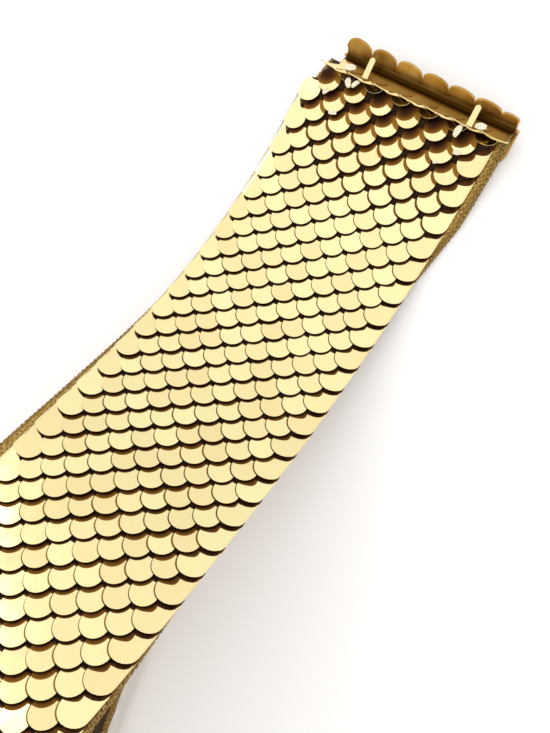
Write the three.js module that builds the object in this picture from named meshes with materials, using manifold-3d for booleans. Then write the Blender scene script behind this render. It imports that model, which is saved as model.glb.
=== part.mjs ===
// A wide stretch belt: metal fish scales on an elastic band, with a scalloped clasp at one end.
// It lies open on a surface as a long loop. Its far half is folded back under it, scales down,
// and the belt climbs from the clasp, arches over and comes back round a bend. Sizes are in
// millimetres, +Z is up, +X points to the clasp and +Y to the belt's left edge.
import * as THREE from "three";
import Module from "manifold-3d";
import { mergeVertices } from "three/addons/utils/BufferGeometryUtils.js";

const wasm = await Module();
wasm.setup();

// Driving sizes
const web_thickness = 2.2;
const web_chamfer = 0.6;
const scale_gap = 0.4; // between the band and the scales on it
const seam_gap = 0.3; // between any other two pieces
const scale_low = 0.9; // height of a scale's root above the band
const scale_high = 1.6; // height of a scale's tip above the band
const field_left = 29.7; // the scales are folded down over the band's sides here
const field_right = -27.3;
const across_pitch = 8.5; // between scales of one row
const row_pitch = 3.7; // between rows
const row_growth = 0.05; // extra spacing for each row nearer the clasp than steady_row
const steady_row = 9; // rows from the clasp after which the spacing is even
const chain_count = 13; // scales in a slanting chain from the left edge to the right one
const row_step = 4; // between the band's sections
const march_step = 1;

// The belt from its hidden end to the clasp. A positive bend turns the scales outwards, as round
// a body, a positive twist turns the belt about its own length, and both are in degrees.
const stretches = [
  { name: "under run", length: 165, bend: 0, twist: 0 },
  { name: "end bend", length: 88, bend: 166.4, twist: -8.9 },
  { name: "crest", length: 120, bend: 6.3, twist: -5.2 },
  { name: "brow", length: 50, bend: 45, twist: -1.5 },
  { name: "upper slope", length: 26, bend: -4, twist: 2.5 },
  { name: "middle slope", length: 26, bend: 3, twist: 2 },
  { name: "lower slope", length: 26, bend: -5, twist: 1.5 },
  { name: "rise", length: 26, bend: -9, twist: 1 },
  { name: "foot", length: 26, bend: -9, twist: 0.5 },
  { name: "belly", length: 26, bend: -16, twist: -0.5 },
  { name: "clasp end", length: 26, bend: -12, twist: -0.5 },
];
const under_run_yaw = 10.7; // degrees between the under run and the upper one
const hidden_end = new THREE.Vector3(15.4, 20.5, scale_high);
const sidestep = { left: -5.5, from: 165, to: 300 }; // of the under run, as it is laid askew

// The band's edges from the scales' middle. It is sewn on askew, and drawn in where it narrows.
const web_edges = [
  { from_clasp: 0, left: 29.3, right: -30.8 },
  { from_clasp: 25, left: 29.3, right: -30.6 },
  { from_clasp: 45, left: 29.4, right: -28.2 },
  { from_clasp: 70, left: 29.6, right: -28 },
  { from_clasp: 140, left: 32.4, right: -28 },
  { from_clasp: 605, left: 32.4, right: -28 },
];

const radians = THREE.MathUtils.degToRad;
const { lerp, smoothstep } = THREE.MathUtils;
const belt_length = stretches.reduce((sum, { length }) => sum + length, 0);
const under_run_length = stretches[0].length;

// Frames along the belt's outer face, one for each march_step: X along it, Y to its left edge
// and Z out of its scaled side. On the under run that side faces down.
function march() {
  const along = new THREE.Vector3(1, 0, 0);
  const place = hidden_end.clone();
  const start = new THREE.Euler(0, Math.PI, radians(under_run_yaw), "ZYX");
  const turn = new THREE.Quaternion().setFromEuler(start);
  const frames = [];
  for (const { length, bend, twist } of stretches) {
    const steps = Math.round(length / march_step);
    const axis = new THREE.Vector3(twist, bend, 0);
    const angle = radians(axis.length()) / steps;
    const half = new THREE.Quaternion().setFromAxisAngle(axis.normalize(), angle / 2);
    for (let step = 0; step < steps; step++) {
      frames.push({ place: place.clone(), turn: turn.clone() });
      turn.multiply(half);
      place.addScaledVector(along.clone().applyQuaternion(turn), length / steps);
      turn.multiply(half);
    }
  }
  frames.push({ place: place.clone(), turn: turn.clone() });
  return frames;
}
const frames = march();

// The point at a distance from the hidden end, to the left of the scales' middle, and out of the
// band's scaled face. Past either end the belt's line runs on straight. Nothing sinks below z = 0,
// so the belly that the belt rests on is pressed flat.
function point(distance, left, out) {
  const inside = THREE.MathUtils.clamp(distance, 0, belt_length);
  const index = Math.min(Math.floor(inside / march_step), frames.length - 2);
  const share = inside / march_step - index;
  const turn = frames[index].turn.clone().slerp(frames[index + 1].turn, share);
  const place = frames[index].place.clone().lerp(frames[index + 1].place, share);
  const aside = left + sidestep.left * (1 - smoothstep(inside, sidestep.from, sidestep.to));
  const found = new THREE.Vector3(distance - inside, aside, out).applyQuaternion(turn).add(place);
  found.z = Math.max(0, found.z);
  return found;
}

// Where a share of the band's width is, from 0 at its right edge to 1 at its left one.
function across_web(distance, share) {
  const from_clasp = belt_length - distance;
  const after = web_edges.find((edge) => edge.from_clasp >= from_clasp - march_step);
  const before = web_edges[Math.max(web_edges.indexOf(after) - 1, 0)];
  const span = Math.max(after.from_clasp - before.from_clasp, march_step);
  const along = Math.min((from_clasp - before.from_clasp) / span, 1);
  const left = lerp(before.left, after.left, along);
  const right = lerp(before.right, after.right, along);
  return lerp(right, left, share);
}

// Distance of a row of scales from the hidden end. Rows count from the clasp, where they spread.
function row_distance(row) {
  const spread = row_growth * (steady_row ** 2 - Math.min(row - steady_row, 0) ** 2);
  return belt_length - row * row_pitch - spread;
}

// A closed surface through rings of points of equal count, with flat caps whose triangles are
// found on each end ring's own outline. Faces that the rings pinch away are left out.
function loft(rings, outlines) {
  const count = rings[0].length;
  const faces = [];
  for (let ring = 0; ring + 1 < rings.length; ring++) {
    for (let side = 0; side < count; side++) {
      const next = (side + 1) % count;
      const [a, b] = [ring * count + side, ring * count + next];
      const [c, d] = [b + count, a + count];
      faces.push([a, b, d], [b, c, d]);
    }
  }
  const last = (rings.length - 1) * count;
  cap_faces(outlines[0]).forEach(([a, b, c]) => faces.push([a, c, b]));
  cap_faces(outlines[1]).forEach(([a, b, c]) => faces.push([a + last, b + last, c + last]));
  const geometry = new THREE.BufferGeometry().setFromPoints(rings.flat());
  geometry.setIndex(faces.flat());
  return facing_out(geometry);
}

// Triangles that fill an outline and turn the same way round as it does.
function cap_faces(outline) {
  const faces = THREE.ShapeUtils.triangulateShape(outline.slice(), []);
  return THREE.ShapeUtils.isClockWise(outline) ? faces.map(([a, b, c]) => [a, c, b]) : faces;
}

// The same surface with shared points merged, pinched faces dropped and its faces turned out.
function facing_out(geometry) {
  const merged = mergeVertices(geometry, 1e-4);
  const index = merged.index.array;
  const kept = [];
  for (let i = 0; i < index.length; i += 3) {
    const [a, b, c] = [index[i], index[i + 1], index[i + 2]];
    if (a !== b && b !== c && c !== a) kept.push(a, b, c);
  }
  merged.setIndex(kept);
  if (volume(merged) < 0) merged.setIndex(kept.reverse());
  return merged;
}

function volume(geometry) {
  const place = geometry.getAttribute("position");
  const index = geometry.index.array;
  const corner = (i) => new THREE.Vector3().fromBufferAttribute(place, index[i]);
  let sum = 0;
  for (let i = 0; i < index.length; i += 3) {
    sum += corner(i).dot(corner(i + 1).cross(corner(i + 2)));
  }
  return sum / 6;
}

// The elastic band: one wall with chamfered edges, from the hidden end to the clasp.
function elastic_webbing() {
  const section = [
    { side: 0, inward: 0, out: -web_thickness / 2 },
    { side: 0, inward: web_chamfer, out: 0 },
    { side: 1, inward: -web_chamfer, out: 0 },
    { side: 1, inward: 0, out: -web_thickness / 2 },
    { side: 1, inward: -web_chamfer, out: -web_thickness },
    { side: 0, inward: web_chamfer, out: -web_thickness },
  ];
  const sections = Math.round(belt_length / row_step);
  const rings = [];
  for (let i = 0; i <= sections; i++) {
    const distance = (belt_length * i) / sections;
    rings.push(
      section.map(({ side, inward, out }) => {
        return point(distance, across_web(distance, side) + inward, out);
      }),
    );
  }
  const outline = section.map(({ side, inward, out }) => {
    return new THREE.Vector2(across_web(0, side) + inward, out);
  });
  return loft(rings, [outline, outline]);
}

// One chain of scales slants across the belt, from the left edge to the right one. Its front is
// a row of tips with a corner between each two, where the neighbours' round edges cross. From
// one chain to the next is a step of half a pitch to the right and one row away from the clasp.
const tip_lead = 0.265; // how far a tip stands ahead of the corners beside it, in such steps
function chain_front(chain, lead = tip_lead) {
  const first_row = 1 + 2 * chain;
  const middle = (chain_count - 1) / 2;
  const back = tip_lead - lead;
  const edge_row = (left) => first_row - middle - 2 * tip_lead + (2 * left) / across_pitch;
  const front = [{ row: edge_row(field_left), left: field_left, tip: false }];
  for (let i = 0; i < chain_count; i++) {
    const row = first_row - i;
    const right = (i - middle) / 2;
    if (i > 0) {
      const left = -(right - 0.25 - tip_lead / 2) * across_pitch;
      front.push({ row: row + 0.5 - tip_lead, left, tip: false });
    }
    front.push({ row: row - back, left: -(right - back / 2) * across_pitch, tip: true });
  }
  front.push({ row: edge_row(field_right), left: field_right, tip: false });
  return front;
}

// A ring of the scale layer: a chain's front at a height, and a plain inside under its corners.
function chain_ring(chain, tip_height, corner_height, lead = tip_lead) {
  const front = chain_front(chain, lead);
  const outer = front.map(({ row, left, tip }) => {
    return { row, left, out: tip ? tip_height : corner_height };
  });
  const inner = front.filter(({ tip }) => !tip).reverse();
  return outer.concat(inner.map(({ row, left }) => ({ row, left, out: scale_gap })));
}
const ring_points = (ring) => ring.map(({ row, left, out }) => point(row_distance(row), left, out));

// A chain ring's outline for its cap: the same at every height, and bulged a little so that no
// three of its points are in line.
function ring_outline(ring) {
  return ring.map(({ left, out }) => {
    const bulge = 2 - (left / field_left) ** 2;
    return new THREE.Vector2(-left, out > scale_gap ? bulge : -bulge);
  });
}

// The last chain of scales that stands clear of the surface, where the under run begins.
const rows_to_under_run = (belt_length - under_run_length - row_growth * steady_row ** 2) / row_pitch;
const last_chain = Math.ceil((rows_to_under_run + chain_count) / 2);

const clasp_seat = 1; // the scales end this far short of the band's end

// The scales of the upper run and of the bend. Each chain rises from its roots to its tips and
// drops to the roots of the next. The layer is cut off straight at the clasp, and the last
// chain's front is straight where the under run's scales begin.
function scales_upper() {
  const past_clasp = -2;
  const corner_height = (scale_low + scale_high) / 2;
  const rings = [];
  for (let chain = past_clasp; chain <= last_chain; chain++) {
    rings.push(chain_ring(chain - 1, scale_low, scale_low));
    rings.push(chain_ring(chain, scale_high, corner_height, chain === last_chain ? 0 : tip_lead));
  }
  const outlines = [rings[0], rings[rings.length - 1]].map(ring_outline);
  const layer = loft(rings.map(ring_points), outlines);
  const clasp_side = point(belt_length, 0, 0);
  const away = clasp_side.clone().sub(point(belt_length + 1, 0, 0));
  return cut(layer, away, away.dot(clasp_side) + clasp_seat);
}
// The half of a solid that lies on the side of a plane that its normal points to.
function cut(geometry, normal, offset) {
  const solid = new wasm.Manifold(
    new wasm.Mesh({
      numProp: 3,
      vertProperties: geometry.getAttribute("position").array,
      triVerts: new Uint32Array(geometry.index.array),
    }),
  );
  const mesh = solid.trimByPlane(normal.toArray(), offset).getMesh();
  return new THREE.BufferGeometry()
    .setAttribute("position", new THREE.BufferAttribute(mesh.vertProperties, 3))
    .setIndex(new THREE.BufferAttribute(mesh.triVerts, 1));
}

// The scales of the under run, pressed flat: a plain layer from the last chain's front to the
// catch at the hidden end.
const catch_leaf = 6; // how far the catch's leaf lies over the band
const seam_slant = 0.6; // the gap across the slanting seam, as a share of the gap along the belt
function scales_under() {
  const start = chain_ring(last_chain, scale_high, scale_high, 0);
  const shift = seam_gap / seam_slant / row_pitch;
  const from = start.map(({ row, left, out }) => point(row_distance(row + shift), left, out));
  const to = start.map(({ left, out }) => point(catch_leaf + seam_gap, left, out));
  const outline = ring_outline(start);
  return loft([from, to], [outline, outline]);
}

// A bent sheet across the belt at its clasp or its hidden end. Its profile at each share of the
// way from its left end to its right one is a closed outline of [beyond, out, left]: beyond the
// belt's end, out of the band's scaled face, and left of the scales' middle.
function bent_sheet(steps, profile, to_place) {
  const rings = [];
  for (let i = 0; i <= steps; i++) rings.push(profile(i / steps));
  const [first, last] = [rings[0], rings[steps]].map((ring) => {
    return ring.map(([beyond, out]) => new THREE.Vector2(beyond, out));
  });
  const placed = rings.map((ring) => ring.map(([beyond, out, left]) => to_place(beyond, left, out)));
  return loft(placed, [first, last]);
}
const at_clasp = (beyond, left, out) => point(belt_length + beyond, left, out);
const at_hidden_end = (beyond, left, out) => point(-beyond, left, out);

// The clasp's trough: a sheet folded to an open gutter along the belt's end. Both long edges are
// cut to seven scallops, like the scales. The near edge leans over the scales and the far one
// stands up as round lobes, each a little to the right of its scallop.
const sheet = 0.8;
const lobe_count = 7;
const steps_per_lobe = 8;
const near_edge = {
  left_end: { left: 26.3, beyond: -1.8 },
  right_end: { left: -31, beyond: -1.1 },
  out: 3.6,
  scallop: 0.4, // how far a scallop bulges over the scales
};
const gutter = { beyond: 2.4, out: 0.5, radius: 1.5, from: -165, sweep: 110, steps: 4 };
const lobes = {
  left_end: 20.9,
  pitch: 7.8,
  last_size: 0.6, // of the last lobe, as a share of the others
  notch: { beyond: 4.4, out: 2.2 },
  reach: { left_end: 2.8, right_end: 1.2 }, // of a lobe's top past its notches
  rise: { beyond: 0.9, out: 0.5, left: 0.35 }, // how a lobe leads on, for each mm of reach
};

// The trough's profile. Its near edge runs on to the left past its gutter, as a thin spike.
function trough_profile(share) {
  const lobe = share * lobe_count;
  const from_middle = (lobe % 1) * 2 - 1;
  const bulge = Math.sqrt(Math.max(0, 1 - from_middle ** 2)); // 1 in its middle, 0 in its notches
  const near_left = lerp(near_edge.left_end.left, near_edge.right_end.left, share);
  const near_beyond = lerp(near_edge.left_end.beyond, near_edge.right_end.beyond, share);
  const past_last = Math.max(0, lobe - (lobe_count - 1));
  const far_left = lobes.left_end - lobes.pitch * (lobe - past_last * (1 - lobes.last_size));
  const size = past_last > 0 ? lobes.last_size : 1;
  const reach = bulge * size * lerp(lobes.reach.left_end, lobes.reach.right_end, share);
  const face = [[near_beyond - near_edge.scallop * bulge, near_edge.out]];
  for (let i = 0; i <= gutter.steps; i++) {
    const angle = radians(gutter.from + (gutter.sweep * i) / gutter.steps);
    const beyond = gutter.beyond + gutter.radius * Math.cos(angle);
    face.push([beyond, gutter.out + gutter.radius * (1 + Math.sin(angle))]);
  }
  const { notch, rise } = lobes;
  face.push([notch.beyond + rise.beyond * reach, notch.out + rise.out * reach]);
  const lefts = face.map((_, i) => (i > 0 ? far_left : near_left));
  lefts[lefts.length - 1] += rise.left * reach;
  const wall = face.map(([beyond, out], i) => [beyond, out, lefts[i]]);
  const back = offset_line(face, sheet).map(([beyond, out], i) => [beyond, out, lefts[i]]);
  return wall.concat(back.reverse());
}

// The same line moved to its right by a thickness.
function offset_line(line, thickness) {
  return line.map(([x, y], i) => {
    const [before, after] = [line[Math.max(i - 1, 0)], line[Math.min(i + 1, line.length - 1)]];
    const run = new THREE.Vector2(after[0] - before[0], after[1] - before[1]).normalize();
    return [x + run.y * thickness, y - run.x * thickness];
  });
}

// The clasp's back plate lies under the band's end with rounded corners, and turns up past that
// end to carry the trough.
const back_plate_left = 22;
const back_plate_right = -31.2;
const back_plate_reach = 12;
const back_corner = 8;
const back_carrier = 2.1; // beyond the band's end, where the plate turns up
const back_plate_steps = 22;
function back_plate_profile(share) {
  const left = lerp(back_plate_left, back_plate_right, share);
  const to_end = Math.min(back_plate_left - left, left - back_plate_right);
  const into_corner = Math.max(0, 1 - to_end / back_corner);
  const start = -back_plate_reach + back_corner * (1 - Math.sqrt(Math.max(0, 1 - into_corner ** 2)));
  const top = -web_thickness - seam_gap;
  const carrier_top = gutter.out - sheet - seam_gap;
  return [
    [start, top],
    [start, top - sheet],
    [back_carrier + sheet, top - sheet],
    [back_carrier + sheet, carrier_top],
    [back_carrier, carrier_top],
    [back_carrier, top],
  ].map(([beyond, out]) => [beyond, out, left]);
}

// A flat tab bridges the trough near each end, from the near edge to a notch between two lobes.
const tab_lefts = { left: 11.7, right: -20 };
const tab_width = 1.6;
const tab_length = 5.6;
const tab_thickness = 0.6;
const tab_start = -1.6; // beyond the band's end
const tab_round_steps = 4;
function clasp_tab(middle) {
  const half = tab_width / 2;
  const shape = new THREE.Shape();
  shape.moveTo(0, -half);
  shape.lineTo(tab_length - half, -half);
  shape.absarc(tab_length - half, 0, half, -Math.PI / 2, Math.PI / 2, false);
  shape.lineTo(0, half);
  const geometry = new THREE.ExtrudeGeometry(shape, {
    depth: tab_thickness,
    bevelEnabled: false,
    curveSegments: tab_round_steps,
  });
  geometry.deleteAttribute("normal");
  geometry.deleteAttribute("uv");
  const { turn } = frames[frames.length - 1];
  geometry.applyQuaternion(turn);
  const base = at_clasp(tab_start, middle, near_edge.out + seam_gap);
  geometry.translate(base.x, base.y, base.z);
  return facing_out(geometry);
}

// The catch folds round the hidden end of the band, and its lip hooks into the trough.
const catch_lip = 5.6; // how far the lip stands past the band's end
const lip_top = 0.2; // height of the lip's edge above the band's face
const catch_foot = 7; // how far the catch's lower leaf lies along the band's inner face
function catch_profile(share) {
  const upper = -web_thickness - seam_gap;
  const lower = seam_gap;
  return [
    [-catch_foot, upper - sheet],
    [catch_lip + sheet, upper - sheet],
    [catch_lip + sheet, lip_top],
    [catch_lip, lip_top],
    [catch_lip, upper],
    [seam_gap + sheet, upper],
    [seam_gap + sheet, lower + sheet],
    [-catch_leaf, lower + sheet],
    [-catch_leaf, lower],
    [seam_gap, lower],
    [seam_gap, upper],
    [-catch_foot, upper],
  ].map(([beyond, out]) => [beyond, out, across_web(0, 1 - share)]);
}

const elastic = new THREE.MeshStandardMaterial({ color: "#b08d3e", roughness: 0.85 });
const polished_gold = new THREE.MeshStandardMaterial({ color: "#f3dc9a", roughness: 0.18, metalness: 1 });
const satin_brass = new THREE.MeshStandardMaterial({ color: "#a98238", roughness: 0.4, metalness: 1 });

const belt = new THREE.Group();
function add(name, geometry, material) {
  const mesh = new THREE.Mesh(geometry, material);
  mesh.name = name;
  belt.add(mesh);
}
add("elastic_webbing", elastic_webbing(), elastic);
add("scales_upper", scales_upper(), polished_gold);
add("scales_under", scales_under(), polished_gold);
const lobe_steps = lobe_count * steps_per_lobe;
const trough = bent_sheet(lobe_steps, trough_profile, at_clasp);
const back_plate = bent_sheet(back_plate_steps, back_plate_profile, at_clasp);
add("clasp_trough", trough, satin_brass);
add("clasp_back_plate", back_plate, satin_brass);
add("clasp_tab_left", clasp_tab(tab_lefts.left), polished_gold);
add("clasp_tab_right", clasp_tab(tab_lefts.right), polished_gold);
add("catch", bent_sheet(1, catch_profile, at_hidden_end), satin_brass);

export default belt;
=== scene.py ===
import math
import random

import bmesh
import bpy
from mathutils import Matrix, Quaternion, Vector


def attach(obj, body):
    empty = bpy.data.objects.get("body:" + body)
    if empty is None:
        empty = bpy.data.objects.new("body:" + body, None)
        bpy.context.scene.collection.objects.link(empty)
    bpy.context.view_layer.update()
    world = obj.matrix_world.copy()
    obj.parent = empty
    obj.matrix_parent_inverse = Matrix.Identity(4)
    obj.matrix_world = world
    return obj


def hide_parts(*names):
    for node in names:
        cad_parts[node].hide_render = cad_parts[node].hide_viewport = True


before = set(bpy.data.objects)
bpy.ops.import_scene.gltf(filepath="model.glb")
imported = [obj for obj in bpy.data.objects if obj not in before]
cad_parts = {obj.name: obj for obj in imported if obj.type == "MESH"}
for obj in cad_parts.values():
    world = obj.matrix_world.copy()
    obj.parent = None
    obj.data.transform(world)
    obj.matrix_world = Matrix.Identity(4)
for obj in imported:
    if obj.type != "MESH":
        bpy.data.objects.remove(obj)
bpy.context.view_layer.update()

# The elastic band
# A flat band, 60 mm wide: rubber cores in lengthwise ribs, braided over with gold metallic yarn.
# One length makes the whole belt. It lies scales down as the under run, turns round the end bend
# and comes back over the top, where it arches and slopes down to the clasp.
mm = 0.001
web_thickness = 2.2 * mm
march_step = 1 * mm
under_run_yaw = math.radians(10.7)
hidden_end = Vector((15.4, 20.5, 1.6)) * mm
stretches = (
    # name, length in mm, bend and twist in degrees
    ("under run", 165, 0, 0),
    ("end bend", 88, 166.4, -8.9),
    ("crest", 120, 6.3, -5.2),
    ("brow", 50, 45, -1.5),
    ("upper slope", 26, -4, 2.5),
    ("middle slope", 26, 3, 2),
    ("lower slope", 26, -5, 1.5),
    ("rise", 26, -9, 1),
    ("foot", 26, -9, 0.5),
    ("belly", 26, -16, -0.5),
    ("clasp end", 26, -12, -0.5),
)
belt_length = sum(length for _, length, _, _ in stretches) * mm
under_run_length = stretches[0][1] * mm
sidestep = -5.5 * mm  # of the under run to its left, as it is laid askew
sidestep_end = 300 * mm
web_edges = (
    # from the clasp, then the band's left and right edge from the scales' middle, all in mm
    (0, 25.5, -30.8),
    (10, 28.6, -30.7),
    (25, 29.2, -30.3),
    (36, 29.3, -28.7),
    (48, 29.4, -27),
    (70, 29.8, -26.9),
    (90, 31.6, -27),
    (115, 33.8, -27.1),
    (145, 35.8, -27.1),
    (180, 35.8, -28.9),
    (310, 35.8, -28.9),
    (400, 32.4, -28),
    (605, 32.4, -28),
)


def march():
    """Frames along the belt's outer face: X along it, Y to its left edge, Z out of its scaled side."""
    along = Vector((1, 0, 0))
    place = hidden_end.copy()
    turn = Quaternion((0, 0, 1), under_run_yaw) @ Quaternion((0, 1, 0), math.pi)
    found = []
    for _, length, bend, twist in stretches:
        steps = round(length * mm / march_step)
        axis = Vector((twist, bend, 0))
        half = Quaternion(axis, math.radians(axis.length) / steps / 2)
        for _ in range(steps):
            found.append((place.copy(), turn.copy()))
            turn = turn @ half
            place += (turn @ along) * march_step
            turn = turn @ half
    found.append((place, turn))
    return found


frames = march()


def smooth(share):
    """A share from 0 to 1 that leaves and arrives gently."""
    share = min(max(share, 0), 1)
    return share * share * (3 - 2 * share)


def point(distance, left, out):
    """The place at a distance from the hidden end, left of the scales' middle, out of the band."""
    inside = min(max(distance, 0), belt_length)
    index = min(int(inside / march_step), len(frames) - 2)
    share = inside / march_step - index
    place = frames[index][0].lerp(frames[index + 1][0], share)
    turn = frames[index][1].slerp(frames[index + 1][1], share)
    on_under_run = 1 - smooth((inside - under_run_length) / (sidestep_end - under_run_length))
    found = place + turn @ Vector((distance - inside, left + sidestep * on_under_run, out))
    found.z = max(0, found.z)
    return found


def across_web(distance, share):
    """Where a share of the band's width is, from 0 at its right edge to 1 at its left one."""
    from_clasp = (belt_length - distance) / mm
    for before, after in zip(web_edges, web_edges[1:]):
        if from_clasp <= after[0]:
            break
    along = min(max((from_clasp - before[0]) / (after[0] - before[0]), 0), 1)
    left, right = (a + (b - a) * along for a, b in zip(before[1:], after[1:]))
    return (right + (left - right) * share) * mm


def lay_on_belt(mesh):
    """Moves points from (distance, left, out) to where that is on the belt."""
    for vert in mesh.verts:
        vert.co = point(*vert.co)


def linear(shade):
    """An sRGB hex colour as the linear colour that a shader takes."""
    parts = [int(shade[i : i + 2], 16) / 255 for i in (1, 3, 5)]
    return (*(p / 12.92 if p <= 0.04045 else ((p + 0.055) / 1.055) ** 2.4 for p in parts), 1)


def new_material(name):
    """An empty material and its node tree."""
    material = bpy.data.materials.new(name)
    material.use_nodes = True
    material.node_tree.nodes.clear()
    return material, material.node_tree


def add(tree, kind, inputs=(), stops=(), **settings):
    """Adds a node. Inputs take values or other nodes' outputs, and a ramp has (place, hex) stops."""
    made = tree.nodes.new(kind)
    for name, value in settings.items():
        setattr(made, name, value)
    for name, value in dict(inputs).items():
        if isinstance(value, bpy.types.NodeSocket):
            tree.links.new(value, made.inputs[name])
        else:
            made.inputs[name].default_value = value
    for i, (place, shade) in enumerate(stops):
        marks = made.color_ramp.elements
        mark = marks[i] if i < len(marks) else marks.new(place)
        mark.position = place
        mark.color = linear(shade)
    return made


def make_piece(name, mesh, materials, stands_for=()):
    """Turns a bmesh into a finished piece that rides on the belt."""
    data = bpy.data.meshes.new(name)
    mesh.to_mesh(data)
    mesh.free()
    for material in materials:
        data.materials.append(material)
    made = bpy.data.objects.new(name, data)
    bpy.context.scene.collection.objects.link(made)
    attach(made, "root")
    if stands_for:
        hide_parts(*stands_for)
    return made


def spread(mesh, columns, rows, place, size=(1, 1)):
    """A grid whose points go to place(u, v), with u and v from 0 to 1. Its UV map spans a size."""
    made = bmesh.ops.create_grid(mesh, x_segments=columns, y_segments=rows, size=0.5)["verts"]
    uv = mesh.loops.layers.uv.get("in_mm") or mesh.loops.layers.uv.new("in_mm")
    for face in {face for vert in made for face in vert.link_faces}:
        face.smooth = True
        for loop in face.loops:
            u, v = loop.vert.co.x + 0.5, loop.vert.co.y + 0.5
            loop[uv].uv = (u * size[0] / mm, v * size[1] / mm)
    for vert in made:
        vert.co = place(vert.co.x + 0.5, vert.co.y + 0.5)
    return made


def tube(mesh, path, radius, sides):
    """A closed tube on a path of (distance, left, out). radius(along, turn) gives its section."""
    last = len(path) - 1
    length = sum((b - a).length for a, b in zip(path, path[1:]))

    def place(u, v):
        i = round(u * last)
        heading = (path[min(i + 1, last)] - path[max(i - 1, 0)]).normalized()
        side = heading.cross(Vector((0, 0, 1))).normalized()
        turn = math.tau * v
        around = side * math.cos(turn) + side.cross(heading) * math.sin(turn)
        return path[i] + around * radius(u * length, turn)

    made = spread(mesh, last, sides, place, (length, math.tau * radius(0, 0)))
    bmesh.ops.remove_doubles(mesh, verts=made, dist=1e-7)
    bmesh.ops.holes_fill(mesh, edges=[edge for edge in mesh.edges if edge.is_boundary], sides=sides)


# Old gold metallic yarn over rubber and cotton: thin flattened film. Its colour follows the braid's
# relief as painted light, darker in the gaps where the strands cross and lighter on the raised film,
# over random mottling. Under the scales and inside the loop it carries painted dark brown shade.
# A strand is 0.8 mm wide.
strand_pitch = 1.6  # mm, between crossings of one set of strands
strand_wander = 1.111  # mm, between the places where a strand strays from its line
yarn_clump = 0.625  # mm, of film that lies the same way
metallic_braid, tree = new_material("braided_metallic_elastic")
uv = add(tree, "ShaderNodeUVMap", uv_map="in_mm")
wander = add(
    tree, "ShaderNodeTexNoise", {"Vector": uv.outputs[0], "Scale": 1 / strand_wander, "Detail": 2}
)
moved = add(
    tree, "ShaderNodeVectorMath", {0: wander.outputs["Color"], 1: (1.3, 1.3, 0), 2: uv.outputs[0]},
    operation="MULTIPLY_ADD",
)
parts = add(tree, "ShaderNodeSeparateXYZ", {"Vector": moved.outputs[0]})
waves = []
for lean in ("ADD", "SUBTRACT"):
    slant = add(tree, "ShaderNodeMath", {0: parts.outputs["X"], 1: parts.outputs["Y"]}, operation=lean)
    turned = add(
        tree, "ShaderNodeMath", {0: slant.outputs[0], 1: math.tau / strand_pitch}, operation="MULTIPLY"
    )
    waves.append(add(tree, "ShaderNodeMath", {0: turned.outputs[0]}, operation="SINE"))
plait = add(
    tree, "ShaderNodeMath", {0: waves[0].outputs[0], 1: waves[1].outputs[0]}, operation="MAXIMUM"
)
fibres = add(
    tree,
    "ShaderNodeTexNoise",
    {"Vector": uv.outputs[0], "Scale": 1 / yarn_clump, "Detail": 5, "Roughness": 0.75},
)
height = add(
    tree, "ShaderNodeMath", {0: fibres.outputs["Fac"], 1: 10, 2: plait.outputs[0]},
    operation="MULTIPLY_ADD",
)
level = add(tree, "ShaderNodeMapRange", {"Value": height.outputs[0], "From Min": 3.6, "From Max": 7.4})
# Painted light: the yarn is darker where its relief is low and lighter where it is high.
yarn = add(
    tree,
    "ShaderNodeValToRGB",
    {"Fac": level.outputs[0]},
    ((0, "#76561a"), (0.35, "#9b752b"), (0.65, "#c09a49"), (1, "#e4c77f")),
)
# Painted shade, dark brown: under the scales, inside the loop and in the selvedge cords' grooves.
painted_shade = add(tree, "ShaderNodeAttribute", attribute_name="painted_shade")
web_colour = add(
    tree, "ShaderNodeMix", {0: painted_shade.outputs["Fac"], 6: yarn.outputs[0], 7: linear("#432809")},
    data_type="RGBA",
)
relief = add(
    tree, "ShaderNodeBump", {"Height": height.outputs[0], "Strength": 0.6, "Distance": 0.12 * mm}
)
shader = add(
    tree,
    "ShaderNodeBsdfPrincipled",
    {
        "Base Color": web_colour.outputs[2],
        "Metallic": 0.25,
        "Roughness": 0.55,
        "Normal": relief.outputs[0],
    },
)
add(tree, "ShaderNodeOutputMaterial", {"Surface": shader.outputs[0]})

field_left = 30 * mm
field_right = -27.3 * mm
web_width = 60.5 * mm
rib_pitch = 1.5 * mm
rib_height = 0.12 * mm
band_inset = 0.15 * mm  # keeps the ribs inside the band's true thickness
points_per_rib = 4
band_step = 4 * mm
ribs = round(web_width / rib_pitch)
rounded = 1.1 * mm  # the band thins to its rounded edges within this
cord_reach = 0.9 * mm  # of the selvedge cords past the band's flat weave, on each side
band = bmesh.new()
painted_shade = band.verts.layers.float.new("painted_shade")
spread(
    band,
    round(belt_length / band_step),
    ribs * points_per_rib,
    lambda u, v: Vector((u * belt_length, v * web_width, -band_inset)),
    (belt_length, web_width),
)
bmesh.ops.recalc_face_normals(band, faces=band.faces)
if band.faces[:][0].normal.z < 0:
    bmesh.ops.reverse_faces(band, faces=band.faces)
bmesh.ops.solidify(band, geom=band.faces[:], thickness=web_thickness - 2 * band_inset)
for vert in band.verts:
    distance, across, out = vert.co
    middle = -web_thickness / 2
    side = 1 if out > middle else -1
    to_edge = min(across, web_width - across)
    rounding = math.sqrt(max(0, 1 - (max(0, rounded - to_edge) / rounded) ** 2))
    rib = rib_height * math.cos(math.tau * across / rib_pitch)
    inner = cord_reach + (web_width - 2 * cord_reach) * across / web_width
    left = across_web(distance, inner / web_width)
    # Painted shade on the outer face under the scales, and on the inner face for the first 300 mm, inside
    # the loop.
    under_scales = side > 0 and field_right < left < field_left
    vert[painted_shade] = 1 if under_scales or (side < 0 and distance < sidestep_end) else 0
    vert.co.y = left
    vert.co.z = middle + (out - middle) * rounding + side * rib * rounding
lay_on_belt(band)
elastic = make_piece("elastic_band", band, [metallic_braid], ["elastic_webbing"])
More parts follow.
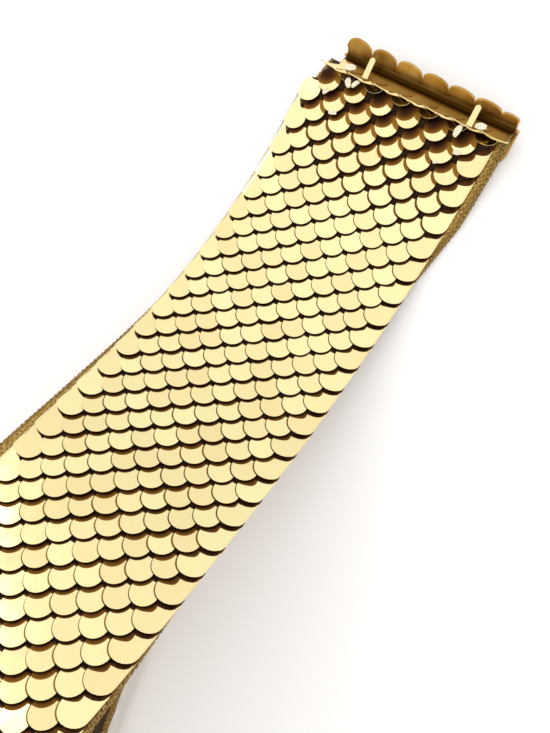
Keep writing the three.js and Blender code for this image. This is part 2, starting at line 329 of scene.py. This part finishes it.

# The band's selvedges are braided round a thicker core, so each edge is a lumpy twisted cord with
# painted shade in the grooves between its strands.
cord_radius = 1.05 * mm
cord_step = 0.5 * mm
cord_sides = 10
cord_twist = 4.2 * mm  # of one strand, along the cord
cord_strands = 3
cord_core = 0.86  # as a share of the radius, and how much a strand adds or its groove takes off
cord_swell = 0.2
groove_from = 0.9  # share of the radius under which a groove gets painted shade, and how fast and far it darkens
groove_shade = 4
groove_darkest = 0.9


def cord_section(along, turn):
    """The radius of a selvedge cord where a strand swells it."""
    strand = math.sin(cord_strands * (turn + math.tau * along / cord_twist))
    return cord_radius * (cord_core + cord_swell * strand)


cords = bmesh.new()
for share, inward in ((0, cord_radius), (1, -cord_radius)):
    steps = round(belt_length / cord_step)
    distances = [belt_length * i / steps for i in range(steps + 1)]
    path = [Vector((d, across_web(d, share) + inward, -web_thickness / 2)) for d in distances]
    tube(cords, path, cord_section, cord_sides)
bmesh.ops.recalc_face_normals(cords, faces=cords.faces)
painted_shade = cords.verts.layers.float.new("painted_shade")
for vert in cords.verts:
    distance, left, out = vert.co
    share = 0 if left < 0 else 1
    middle = across_web(distance, share) + (1 - 2 * share) * cord_radius
    swollen = math.hypot(left - middle, out + web_thickness / 2) / cord_radius
    # Painted shade in the grooves between the cord's strands.
    vert[painted_shade] = min(max(groove_from - swollen, 0) * groove_shade, groove_darkest)
lay_on_belt(cords)
selvedges = make_piece("elastic_selvedges", cords, [metallic_braid])

# The fish scales
# Small round brass blanks, polished and plated pale gold. Each is sewn at its root, lies over its
# left neighbour and has its tip on the next row down. The ones at the right edge are wide, and at
# both edges they are cut straight and bent down to the band.
across_pitch = 8.5 * mm
row_pitch = 3.7 * mm
row_growth = 0.05 * mm
steady_row = 9
chain_count = 13
scale_radius = 3.42 * mm
scale_sheet = 0.18 * mm
scale_sides = 24
scale_rim = 0.05 * mm
facing_up = 0.3  # least height of a normal on the polished face
sharp_fold = 0.5  # radians
middle_row = 0.65  # rows from a scale's tip to its middle, and how far left that is of the tip
middle_left = 1.85 * mm
to_tip = Vector((-0.657, -0.755))
to_right_neighbour = Vector((0.657, -0.755))
lift = 0.3 * mm  # of a scale's root above the band
slope = 0.15
slope_at_clasp = 0.26
roll = 0.09  # a scale's left side lies this much higher than its right side
raised_rows = 8  # rows from the clasp over which the scales lie down
clasp_pull = Vector((1, -1.2)) * mm  # of the first scales, along and across, by the clasp's seam
clasp_seat = 1.2 * mm  # the scales are cut off this far short of the band's end
random_lean = 0.016  # of each scale, along and across
shade_reach = (0.5, 1)  # mm of painted brown shade past a neighbour's rim, at the first and the second of these rows
shade_rows = (20, 34)
shade_spread = (0.5, 1.5)  # that share of it, from scale to scale
shade_at_clasp = 5  # mm added at the clasp, which fades out over the raised rows
shade_at_right = 1  # mm at most, on the right edge's scales
uncovered = -3  # for the left edge's scales, which no neighbour's side lies over, so they get no painted shade from it
first_left_row = 3  # the left edge starts here, with a plain scale
left_growth = 2 * mm  # of the left edge's scales, between these distances from the clasp
growth_from = 65 * mm
growth_to = 135 * mm
catch_leaf = 6 * mm  # of the band inside the catch, and the gap from there to the first scale
catch_gap = 4 * mm
left_bend = (28.8 * mm, 1.3 * mm, math.radians(70))  # where it starts, its radius and its angle
right_bend = (26.5 * mm, 1 * mm, math.radians(50))
left_cuts = (1.45, 1.9, 2.3, 2.7)  # mm from a scale's middle, where its blank is creased
right_cuts = (-2.85, -3.2, -3.6)
left_end = 3.04 * mm
right_end = -4.13 * mm
edge_length = 7.5 * mm  # how far an edge scale runs on along its cut, under the next one up
edge_height = 0.05 * mm  # least height of a bent edge above the band
left_bright = 2.8  # mm towards the clasp, where a left edge scale's UV map stops short of the painted shade
scale_order = random.Random(11)


def row_distance(row):
    """Distance of a row of scales from the hidden end. Rows count from the clasp, and spread there."""
    return belt_length - row * row_pitch - row_growth * (steady_row**2 - min(row - steady_row, 0) ** 2)


def scale_blank(at_left=False, at_right=False):
    """One blank, flat, with a small rim. Its faces carry 0 for the polish and 1 for the cut.

    Its UV map is in mm from its middle, for the painted brown shade that its neighbours cast. An edge
    one has no neighbour over its outer side. There the map follows the rim of the next one up at the
    right edge, and keeps off the painted shade at the left edge.
    """
    made = bmesh.new()
    uv = made.loops.layers.uv.new("in_mm")
    bmesh.ops.create_circle(made, cap_ends=True, radius=scale_radius, segments=scale_sides)
    if made.faces[:][0].normal.z < 0:
        bmesh.ops.reverse_faces(made, faces=made.faces)
    for vert in made.verts:
        end = left_end if at_left else right_end
        if not (at_left or at_right) or vert.co.y * end < 0:
            continue
        quarter = math.atan2(abs(vert.co.y), vert.co.x) / (math.pi / 2)
        if quarter > 1:
            vert.co.y *= abs(end) / scale_radius
        elif quarter > 0.5:
            vert.co.xy = edge_length * 2 * (1 - quarter), end
        else:
            vert.co.xy = scale_radius + (edge_length - scale_radius) * 2 * quarter, end * 2 * quarter
    bmesh.ops.solidify(made, geom=made.faces[:], thickness=scale_sheet)
    highest = max(vert.co.z for vert in made.verts)
    rim = [e for e in made.edges if all(v.co.z > highest - scale_sheet / 2 for v in e.verts)]
    bmesh.ops.bevel(
        made, geom=rim, offset=scale_rim, segments=1, profile=0.5, affect="EDGES", material=-1
    )
    for face in made.faces:
        face.material_index = 0 if face.normal.z > facing_up else 1
    for cut in (left_cuts if at_left else ()) + (right_cuts if at_right else ()):
        whole = made.verts[:] + made.edges[:] + made.faces[:]
        bmesh.ops.bisect_plane(
            made, geom=whole, dist=1e-7, plane_co=(0, cut * mm, 0), plane_no=(0, 1, 0)
        )
    for face in made.faces:
        face.smooth = True
        for loop in face.loops:
            x, y, _ = loop.vert.co / mm
            if at_right and y < 0:
                fallen = 1 - math.sqrt(max(0, 1 - (y * mm / right_end) ** 2))
                x, y = x - fallen * scale_radius / mm, 0
            if at_left and y > 0:
                x = min(x, left_bright)
            loop[uv].uv = (x, y)
    for edge in made.edges:
        edge.smooth = len(edge.link_faces) == 2 and edge.calc_face_angle() < sharp_fold
    data = bpy.data.meshes.new("blank")
    made.to_mesh(data)
    made.free()
    return data


def bend_down(left, out, growth):
    """Bends what passes the start of the field's edge down to the band."""
    start, radius, most = left_bend if left > 0 else right_bend
    start += growth
    over = abs(left) - start
    if over <= 0:
        return left, out
    angle = min(over / radius, most)
    rest = over - angle * radius
    reached = start + radius * math.sin(angle) + rest * math.cos(angle)
    dropped = out - radius * (1 - math.cos(angle)) - rest * math.sin(angle)
    return math.copysign(reached, left), max(dropped, edge_height)


def scales(first_distance, last_distance):
    """The field of scales between two distances along the belt, with a random tone and a reach of painted
    brown shade for each.
    """
    field = bmesh.new()
    tone = field.faces.layers.float.new("tone")
    shade = field.faces.layers.float.new("shade")
    plain, left_one, right_one = scale_blank(), scale_blank(at_left=True), scale_blank(at_right=True)
    blanks = [left_one] + [plain] * (chain_count - 2) + [right_one]
    last_row = int((belt_length - catch_leaf) / row_pitch)
    for chain in range(last_row // 2 + chain_count):
        for i, blank in enumerate(blanks):
            row = 1 + 2 * chain - i
            middle = row_distance(row - middle_row)
            aside = ((chain_count - 1) / 2 - i) / 2 * across_pitch + middle_left
            first_row = 1 if i > 0 else first_left_row
            if row < first_row or not first_distance <= middle < last_distance:
                continue
            blank = plain if i == 0 and row == first_row else blank
            field.from_mesh(blank)
            field.verts.ensure_lookup_table()
            field.faces.ensure_lookup_table()
            near_clasp = max(0, 1 - row / raised_rows)
            steep = slope + (slope_at_clasp - slope) * near_clasp**1.5
            widened = smooth((belt_length - middle - growth_from) / (growth_to - growth_from))
            lean_along = scale_order.gauss(0, random_lean)
            lean_across = scale_order.gauss(0, random_lean)
            lightness = scale_order.random()
            # How far the painted brown shade reaches past the neighbours' rims, most near the clasp.
            further = smooth((row - shade_rows[0]) / (shade_rows[1] - shade_rows[0]))
            painted_brown_shade = shade_reach[0] + (shade_reach[1] - shade_reach[0]) * further
            painted_brown_shade *= scale_order.uniform(*shade_spread)
            painted_brown_shade += shade_at_clasp * near_clasp**1.8
            painted_brown_shade = min(painted_brown_shade, shade_at_right) if blank is right_one else painted_brown_shade
            painted_brown_shade = uncovered if i == 0 else painted_brown_shade
            growth = left_growth * widened if i == 0 else 0
            for vert in field.verts[-len(blank.vertices) :]:
                x, y, z = vert.co
                flat = Vector((x, y))
                height = lift + steep * (scale_radius + flat.dot(to_tip))
                height += roll * (scale_radius - flat.dot(to_right_neighbour))
                height += lean_along * x + lean_across * y
                wider = y * (1 + growth / left_end) if y > 0 else y
                left, out = bend_down(aside + wider + clasp_pull.y * near_clasp, height, growth)
                distance = min(middle + x + clasp_pull.x * near_clasp, belt_length - clasp_seat)
                vert.co = point(distance, left, out + z)
            for face in field.faces[-len(blank.polygons) :]:
                face[tone] = lightness
                face[shade] = painted_brown_shade
    for blank in (plain, left_one, right_one):
        bpy.data.meshes.remove(blank)
    return field


# Brass polished to a mirror and plated pale gold, with a faint haze from handling. Beside the
# scales that lie over it, and most of all near the clasp, the plate carries painted brown shade and
# painted reflection of the scales above, which is also a little less metallic and rougher.
up, aside = row_pitch / mm, across_pitch / 2 / mm
shade_blur = 0.05  # mm, half of the painted shade's soft edge
haze_patch = 2.381 * mm
dent_spacing = 7.692 * mm
overlaps = (
    # the middle of a scale that lies over this one, how far its painted shade spreads for each mm of
    # shade, and its radius, in mm: at the left, at the right and two rows up
    ((up, aside, 0), (-to_tip.x, -to_tip.y, 0), scale_radius / mm),
    ((up, -aside, 0), (0.15, -0.17, 0), 3.51),
    ((2 * up - 1.1, 0, 0), (0, 0, 0), 3.45),
)
gold, tree = new_material("polished_pale_gold_plate")
tone = add(tree, "ShaderNodeAttribute", attribute_name="tone")
plate = add(
    tree,
    "ShaderNodeValToRGB",
    {"Fac": tone.outputs["Fac"]},
    ((0, "#f0dca2"), (0.35, "#f1e0a6"), (0.7, "#f2e5aa"), (1, "#f3eab0")),
)
uv = add(tree, "ShaderNodeUVMap", uv_map="in_mm")
shade = add(tree, "ShaderNodeAttribute", attribute_name="shade")
away = []
under = []
for middle, spreads, radius in overlaps:
    reach = add(
        tree, "ShaderNodeVectorMath", {0: spreads, "Scale": shade.outputs["Fac"]}, operation="SCALE"
    )
    moved = add(tree, "ShaderNodeVectorMath", {0: uv.outputs[0], 1: reach.outputs[0]}, operation="ADD")
    gap = add(tree, "ShaderNodeVectorMath", {0: moved.outputs[0], 1: middle}, operation="DISTANCE")
    away.append(gap.outputs["Value"])
    rim = {"From Min": radius - shade_blur, "From Max": radius + shade_blur, "To Min": 1, "To Max": 0}
    under.append(add(tree, "ShaderNodeMapRange", {"Value": away[-1], **rim}).outputs[0])
# Painted brown shade and reflection: inside the moved circles of the scales that lie over this one.
painted_brown_shade = under[0]
for other in under[1:]:
    painted_brown_shade = add(tree, "ShaderNodeMath", {0: painted_brown_shade, 1: other}, operation="MAXIMUM").outputs[0]
depth = add(
    tree,
    "ShaderNodeMapRange",
    {"Value": away[0], "From Min": scale_radius / mm, "From Max": 1, "To Min": 0, "To Max": 1},
)
darker = add(
    tree,
    "ShaderNodeMapRange",
    {"Value": shade.outputs["Fac"], "From Min": 0.3, "From Max": 1.6, "To Min": 0.4, "To Max": 0},
)
deeper = add(tree, "ShaderNodeMath", {0: depth.outputs[0], 1: darker.outputs[0]}, operation="ADD")
deepest = add(
    tree, "ShaderNodeMath", {0: under[2], 1: 0.4, 2: deeper.outputs[0]}, operation="MULTIPLY_ADD"
)
brown = add(
    tree,
    "ShaderNodeValToRGB",
    {"Fac": deepest.outputs[0]},
    ((0, "#8a5e1b"), (0.25, "#69420c"), (0.6, "#472605"), (1, "#2e1402")),
)
colour = add(
    tree, "ShaderNodeMix", {0: painted_brown_shade, 6: plate.outputs[0], 7: brown.outputs[0]}, data_type="RGBA"
)
# The painted shade is also a little less metallic and rougher.
bare = add(tree, "ShaderNodeMapRange", {"Value": painted_brown_shade, "To Min": 1, "To Max": 0.85})
place = add(tree, "ShaderNodeTexCoord")
haze = add(
    tree, "ShaderNodeTexNoise", {"Vector": place.outputs["Object"], "Scale": 1 / haze_patch, "Detail": 3}
)
polish = add(
    tree, "ShaderNodeMapRange", {"Value": haze.outputs["Fac"], "To Min": 0.08, "To Max": 0.2}
)
dulled = add(
    tree, "ShaderNodeMath", {0: painted_brown_shade, 1: 0.3, 2: polish.outputs[0]}, operation="MULTIPLY_ADD"
)
wave = add(
    tree, "ShaderNodeTexNoise", {"Vector": place.outputs["Object"], "Scale": 1 / dent_spacing, "Detail": 1}
)
dents = add(
    tree, "ShaderNodeBump", {"Height": wave.outputs["Fac"], "Strength": 0.3, "Distance": 0.2 * mm}
)
shader = add(
    tree,
    "ShaderNodeBsdfPrincipled",
    {
        "Base Color": colour.outputs[2],
        "Metallic": bare.outputs[0],
        "Roughness": dulled.outputs[0],
        "Normal": dents.outputs[0],
    },
)
add(tree, "ShaderNodeOutputMaterial", {"Surface": shader.outputs[0]})

# The blanks' sheared sides and backs: brass that took little plating and has gone brown.
tarnish_patch = 1.1111 * mm
cut_brass, tree = new_material("sheared_brown_brass")
place = add(tree, "ShaderNodeTexCoord")
patches = add(
    tree, "ShaderNodeTexNoise", {"Vector": place.outputs["Object"], "Scale": 1 / tarnish_patch, "Detail": 3}
)
brown = add(
    tree,
    "ShaderNodeValToRGB",
    {"Fac": patches.outputs["Fac"]},
    ((0.3, "#5c3a0c"), (0.6, "#8a5c17"), (0.8, "#b58434")),
)
shader = add(
    tree,
    "ShaderNodeBsdfPrincipled",
    {"Base Color": brown.outputs["Color"], "Metallic": 0.3, "Roughness": 0.5},
)
add(tree, "ShaderNodeOutputMaterial", {"Surface": shader.outputs[0]})

scales_top = make_piece(
    "scales_top_run", scales(under_run_length, belt_length), [gold, cut_brass],
    ["scales_upper"],
)
scales_below = make_piece(
    "scales_under_run", scales(catch_leaf + catch_gap, under_run_length), [gold, cut_brass],
    ["scales_under"],
)

# The clasp's trough
# One strip of brass sheet with both long edges cut to seven scallops, then folded to an open
# gutter: the near edge leans over the scales and the far one stands up as round lobes. It is
# satin finished and plated a browner gold than the scales. Its near edge and the spike at its left
# end take the pale polished plate as a painted highlight, and its gutter carries painted shade.
clasp_sheet = 0.6 * mm
lobe_count = 7
near_left_end = Vector((26.3, -1.8)) * mm  # left of the scales' middle, and beyond the band's end
near_right_end = Vector((-31, -1.1)) * mm
near_out = 3.6 * mm
near_scallop = 0.5 * mm
gutter_middle = Vector((2.4, 2)) * mm  # beyond the band's end, and out of its face
gutter_radius = 1.5 * mm
gutter_from = math.radians(-165)
gutter_sweep = math.radians(110)
lobes_left_end = 20.9 * mm
lobe_pitch = 7.8 * mm
last_size = 0.6  # of the last lobe, as a share of the others
lobe_notch = Vector((4.4, 2.2)) * mm
lobe_reach = (2.8 * mm, 1.2 * mm)  # past the notches, at the left end and the right end
lobe_rise = Vector((0.9, 0.5))
lobe_lean = 0.35
near_share = 0.25  # of the way across the sheet, from its near edge, and where the gutter starts
gutter_share = 0.6
spike_share = 0.14  # past this the near edge's left end has run into the gutter's
spike_width = 0.06  # of the way along the sheet
gutter_shade_at = 0.48  # where the painted shade is darkest, in the gutter's bottom
gutter_shade_width = 0.19
painted_shade_on_wall = 0.35  # of painted shade on the near wall, from the near edge down to there
# width of the near edge's strip that takes the pale plate as a painted highlight
bright_edge = 0.04
sheet_rows = 28
lobe_columns = 14


def trough_point(u, v):
    """A point of the trough's sheet: u across the belt, v from the near edge to the lobes' tops."""
    lobe = u * lobe_count
    bulge = math.sqrt(max(0, 1 - (lobe % 1 * 2 - 1) ** 2))
    past_last = max(0, lobe - (lobe_count - 1))
    left = lobes_left_end - lobe_pitch * (lobe - past_last * (1 - last_size))
    size = last_size if past_last > 0 else 1
    reach = bulge * size * (lobe_reach[0] + (lobe_reach[1] - lobe_reach[0]) * u)
    near_left, near_beyond = near_left_end.lerp(near_right_end, u)
    near = Vector((near_beyond - near_scallop * bulge, near_out))
    swept = min(max((v - near_share) / (gutter_share - near_share), 0), 1)
    angle = gutter_from + gutter_sweep * swept
    place = gutter_middle + gutter_radius * Vector((math.cos(angle), math.sin(angle)))
    if v < near_share:
        place = near.lerp(place, (v / near_share) ** 2)
        left = near_left + (left - near_left) * min(v / spike_share, 1)
    if v > gutter_share:
        up = (v - gutter_share) / (1 - gutter_share)
        place = place.lerp(lobe_notch + lobe_rise * reach, up)
        left += lobe_lean * reach * up
    return Vector((belt_length + place.x, left, place.y))


# Brass brushed satin and plated brown gold, which blurs what it mirrors. The real strokes are
# 0.02 mm wide, too fine to show, so they are drawn from 1.4 mm down to 0.1 mm.
widest_stroke = 1.4286 * mm
cloud_patch = 6.25 * mm
satin, tree = new_material("satin_brown_gold_plate")
place = add(tree, "ShaderNodeTexCoord")
strokes = add(
    tree, "ShaderNodeTexNoise", {"Vector": place.outputs["Object"], "Scale": 1 / widest_stroke, "Detail": 4}
)
cloud = add(
    tree, "ShaderNodeTexNoise", {"Vector": place.outputs["Object"], "Scale": 1 / cloud_patch, "Detail": 3}
)
plate = add(
    tree,
    "ShaderNodeValToRGB",
    {"Fac": cloud.outputs["Fac"]},
    ((0.3, "#a67c38"), (0.55, "#bd9248"), (0.75, "#d0a860")),
)
satin_polish = add(
    tree, "ShaderNodeMapRange", {"Value": strokes.outputs["Fac"], "To Min": 0.3, "To Max": 0.42}
)
grain = add(
    tree, "ShaderNodeBump", {"Height": strokes.outputs["Fac"], "Strength": 0.2, "Distance": 0.05 * mm}
)
# Painted shade, dark brown, in the gutter and on the near wall.
painted_gutter_shade = add(tree, "ShaderNodeAttribute", attribute_name="painted_gutter_shade")
painted_shade_plate = add(
    tree, "ShaderNodeMix", {0: painted_gutter_shade.outputs["Fac"], 6: plate.outputs[0], 7: linear("#3a2406")},
    data_type="RGBA",
)
shader = add(
    tree,
    "ShaderNodeBsdfPrincipled",
    {
        "Base Color": painted_shade_plate.outputs[2],
        "Metallic": 1,
        "Roughness": satin_polish.outputs[0],
        "Normal": grain.outputs[0],
    },
)
add(tree, "ShaderNodeOutputMaterial", {"Surface": shader.outputs[0]})

trough = bmesh.new()
painted_gutter_shade = trough.verts.layers.float.new("painted_gutter_shade")
spread(trough, lobe_count * lobe_columns, sheet_rows, lambda u, v: Vector((u, v, 0)))
for vert in trough.verts:
    u, v, _ = vert.co
    # Painted shade: darkest along the gutter's bottom, with some on the near wall.
    in_gutter = math.exp(-(((v - gutter_shade_at) / gutter_shade_width) ** 2))
    vert[painted_gutter_shade] = in_gutter + painted_shade_on_wall * (v < gutter_shade_at)
# The near edge and the spike at its left end take the pale polished plate, a painted highlight.
for face in trough.faces:
    u, v, _ = face.calc_center_median()
    on_spike = u < spike_width and v < near_share
    face.material_index = 1 if v < bright_edge or on_spike else 0
for vert in trough.verts:
    vert.co = trough_point(*vert.co.xy)
lay_on_belt(trough)
trough_piece = make_piece(
    "clasp_trough_sheet", trough, [satin, gold], ["clasp_trough"]
)
wall = trough_piece.modifiers.new("sheet", "SOLIDIFY")
wall.thickness = clasp_sheet
wall.offset = -1

# The clasp's back plate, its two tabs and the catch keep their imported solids, in the same plating.
for name in ("clasp_back_plate", "catch"):
    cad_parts[name].data.materials.clear()
    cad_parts[name].data.materials.append(satin)
for name in ("clasp_tab_left", "clasp_tab_right"):
    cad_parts[name].data.materials.clear()
    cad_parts[name].data.materials.append(gold)

# The sewing
# Cream cotton thread, doubled, that holds the clasp and the scales' ends. It shows as flat knots
# on the trough's near edge and as short stitches between the first scales.
thread_radius = 0.26 * mm
thread_sides = 12
thread_steps = 16
strand_spacing = 1.6 * thread_radius
gathered = 0.7  # how far the strands of a mark close up at its ends
thread_marks = (
    # beyond the band's end, left and out of it, length along and across in mm, strands, arch in mm
    ("knot at the left tab", -0.5, 17.1, 3.6, 1, -3, 4, 0.5),
    ("knot at the right tab", -0.4, -22.7, 3.6, 0.8, -2.8, 4, 0.5),
    ("left tuft", -4.2, 16.1, 2.6, 2.2, 1.2, 4, 0.6),
    ("left tuft's end", -3.8, 14, 2.6, 2, -1.3, 3, 0.6),
    ("right tuft", -3.7, -17.7, 2.8, 3.2, -0.4, 4, 0.7),
    ("first left stitch", -8.8, 21.4, 2, 1.3, -1, 3, 0.5),
    ("second left stitch", -13.2, 16.8, 1.8, 0.6, -2, 3, 0.5),
    ("first right stitch", -8.7, -20, 2, 0.5, -1.8, 3, 0.5),
    ("second right stitch", -13.1, -16.1, 1.7, 0.7, -1.2, 2, 0.4),
)

# Cream cotton, spun and plied: matt, with painted shade in the slanting grooves between its plies.
ply_pitch = 0.698  # mm
wave_unit = math.tau / 10  # the length of one band of a wave texture at a scale of 1
cotton, tree = new_material("cream_cotton_thread")
uv = add(tree, "ShaderNodeUVMap", uv_map="in_mm")
ply = add(
    tree,
    "ShaderNodeTexWave",
    {"Vector": uv.outputs[0], "Scale": wave_unit / ply_pitch, "Distortion": 2, "Detail": 2},
    bands_direction="DIAGONAL",
)
cream = add(
    tree,
    "ShaderNodeValToRGB",
    {"Fac": ply.outputs["Fac"]},
    ((0, "#d9c7a0"), (0.5, "#f2e6cb"), (1, "#fff9ec")),
)
twist = add(tree, "ShaderNodeBump", {"Height": ply.outputs["Fac"], "Strength": 0.6, "Distance": 0.1 * mm})
shader = add(
    tree,
    "ShaderNodeBsdfPrincipled",
    {"Base Color": cream.outputs["Color"], "Roughness": 0.85, "Normal": twist.outputs[0]},
)
add(tree, "ShaderNodeOutputMaterial", {"Surface": shader.outputs[0]})

threads = bmesh.new()
for _, beyond, left, out, along, across, strands, arch in thread_marks:
    run = Vector((along, across)) * mm
    aside = Vector((-run.y, run.x)).normalized() * strand_spacing
    for strand in range(strands):
        offset = aside * (strand - (strands - 1) / 2)
        path = []
        for i in range(thread_steps + 1):
            share = i / thread_steps
            here = run * (share - 0.5) + offset * (1 - gathered * (2 * share - 1) ** 2)
            height = out * mm + arch * mm * math.sin(math.pi * share)
            path.append(Vector((belt_length + beyond * mm + here.x, left * mm + here.y, height)))
        tube(threads, path, lambda along, turn: thread_radius, thread_sides)
bmesh.ops.recalc_face_normals(threads, faces=threads.faces)
lay_on_belt(threads)
make_piece("clasp_threads", threads, [cotton])

# The surface, the light and the camera
# A pale matt surface under a bright even studio dome that is dimmer near the horizon, with one
# soft panel ahead of the belt. The camera stands where the photograph was taken from.
floor_mesh = bmesh.new()
bmesh.ops.create_grid(floor_mesh, x_segments=1, y_segments=1, size=3)
floor_data = bpy.data.meshes.new("floor")
floor_mesh.to_mesh(floor_data)
floor_mesh.free()
paper, tree = new_material("white_paper")
shader = add(tree, "ShaderNodeBsdfPrincipled", {"Base Color": linear("#fcfbfa"), "Roughness": 0.9})
add(tree, "ShaderNodeOutputMaterial", {"Surface": shader.outputs[0]})
floor_data.materials.append(paper)
floor = bpy.data.objects.new("floor", floor_data)
floor.location.z = -0.05 * mm
bpy.context.scene.collection.objects.link(floor)

world = bpy.data.worlds.new("studio")
bpy.context.scene.world = world
world.use_nodes = True
sky = world.node_tree
sky_place = add(sky, "ShaderNodeTexCoord")
sky_parts = add(sky, "ShaderNodeSeparateXYZ", {"Vector": sky_place.outputs["Generated"]})
sky_light = add(
    sky,
    "ShaderNodeMapRange",
    {"Value": sky_parts.outputs["Z"], "From Min": 0.2, "From Max": 0.7, "To Min": 1.05, "To Max": 1.24},
)
sky.links.new(sky_light.outputs[0], sky.nodes["Background"].inputs["Strength"])
sky.nodes["Background"].inputs["Color"].default_value = linear("#ffffff")

key = bpy.data.lights.new("soft_panel", "AREA")
key.shape = "DISK"
key.size = 0.14
key.energy = 0.4
key_light = bpy.data.objects.new("soft_panel", key)
key_light.location = (0.487, 0.546, 0.465)
key_light.rotation_euler = (Vector((0, 0, 0.05)) - key_light.location).to_track_quat("-Z", "Y").to_euler()
bpy.context.scene.collection.objects.link(key_light)

lens = bpy.data.cameras.new("camera")
lens.lens = 34.38
lens.sensor_width = 36
lens.clip_start = 0.01
camera = bpy.data.objects.new("camera", lens)
camera.location = (0.1106, -0.0638, 0.1944)
camera.rotation_euler = [math.radians(a) for a in (3.38, 16.29, -58.61)]
bpy.context.scene.collection.objects.link(camera)
bpy.context.scene.camera = camera
bpy.context.scene.view_settings.view_transform = "Standard"
